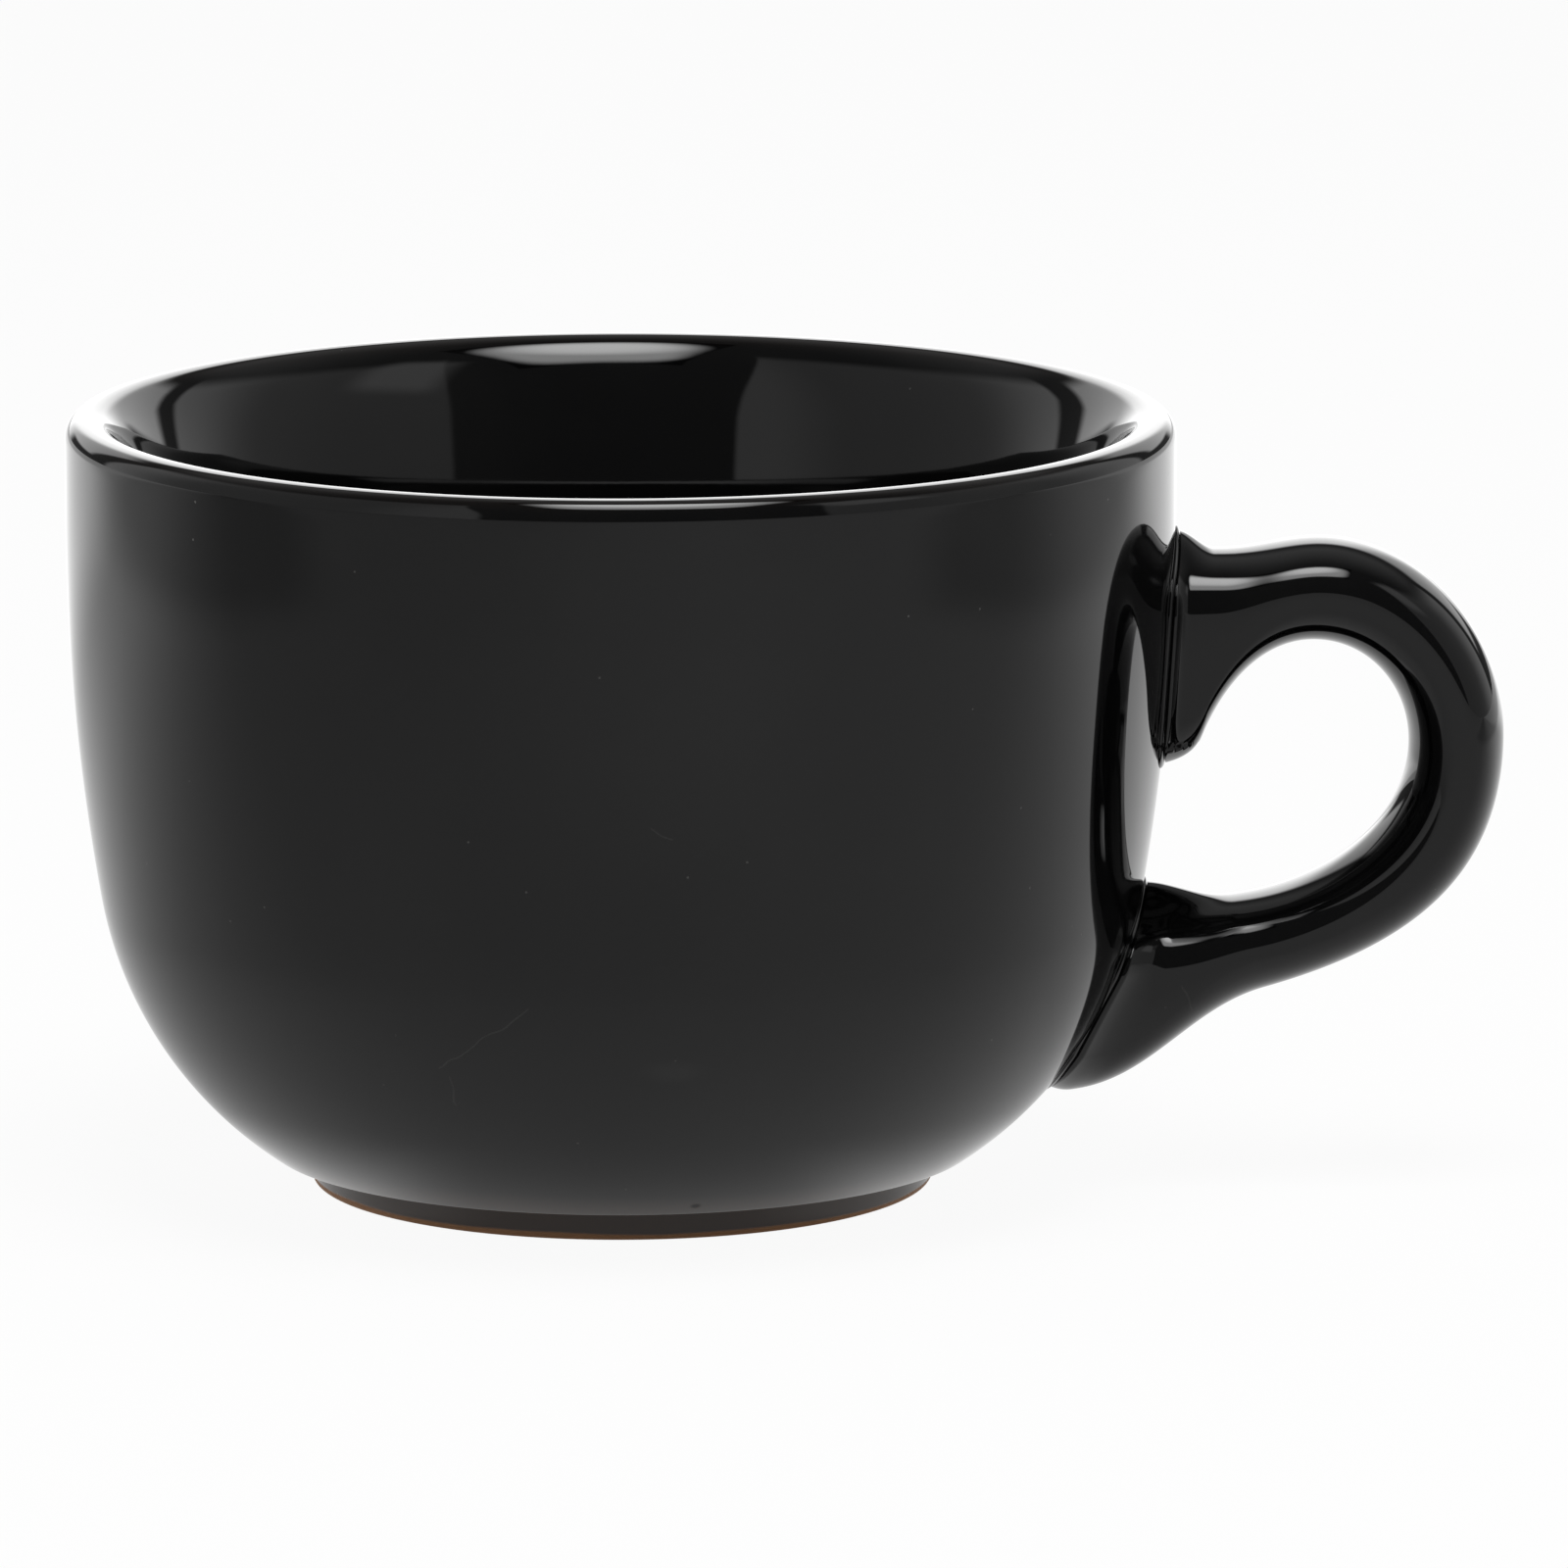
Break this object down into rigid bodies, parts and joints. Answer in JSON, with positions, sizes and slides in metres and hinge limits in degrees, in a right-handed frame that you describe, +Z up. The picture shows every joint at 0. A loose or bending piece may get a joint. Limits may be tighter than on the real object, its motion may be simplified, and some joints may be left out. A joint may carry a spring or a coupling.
{
  "type": "cappuccino mug",
  "caption": "Wide straight-sided cappuccino mug in gloss black glazed stoneware, with a round belly, a set-in foot ring and an ear-shaped loop handle bonded on with slip.",
  "frame": {"origin": "centre of the foot ring, on the table that the mug stands on", "axes": "+Z up along the body's axis, +X from the axis towards the handle, +Y across the handle"},
  "size_m": [0.1454, 0.112, 0.0785],
  "materials": {
    "black_glaze": "gloss"
  },
  "bodies": {
    "root": {"body": "black_glaze", "handle": "black_glaze", "upper_slip_joint": "black_glaze", "lower_slip_joint": "black_glaze"}
  },
  "joints": []
}
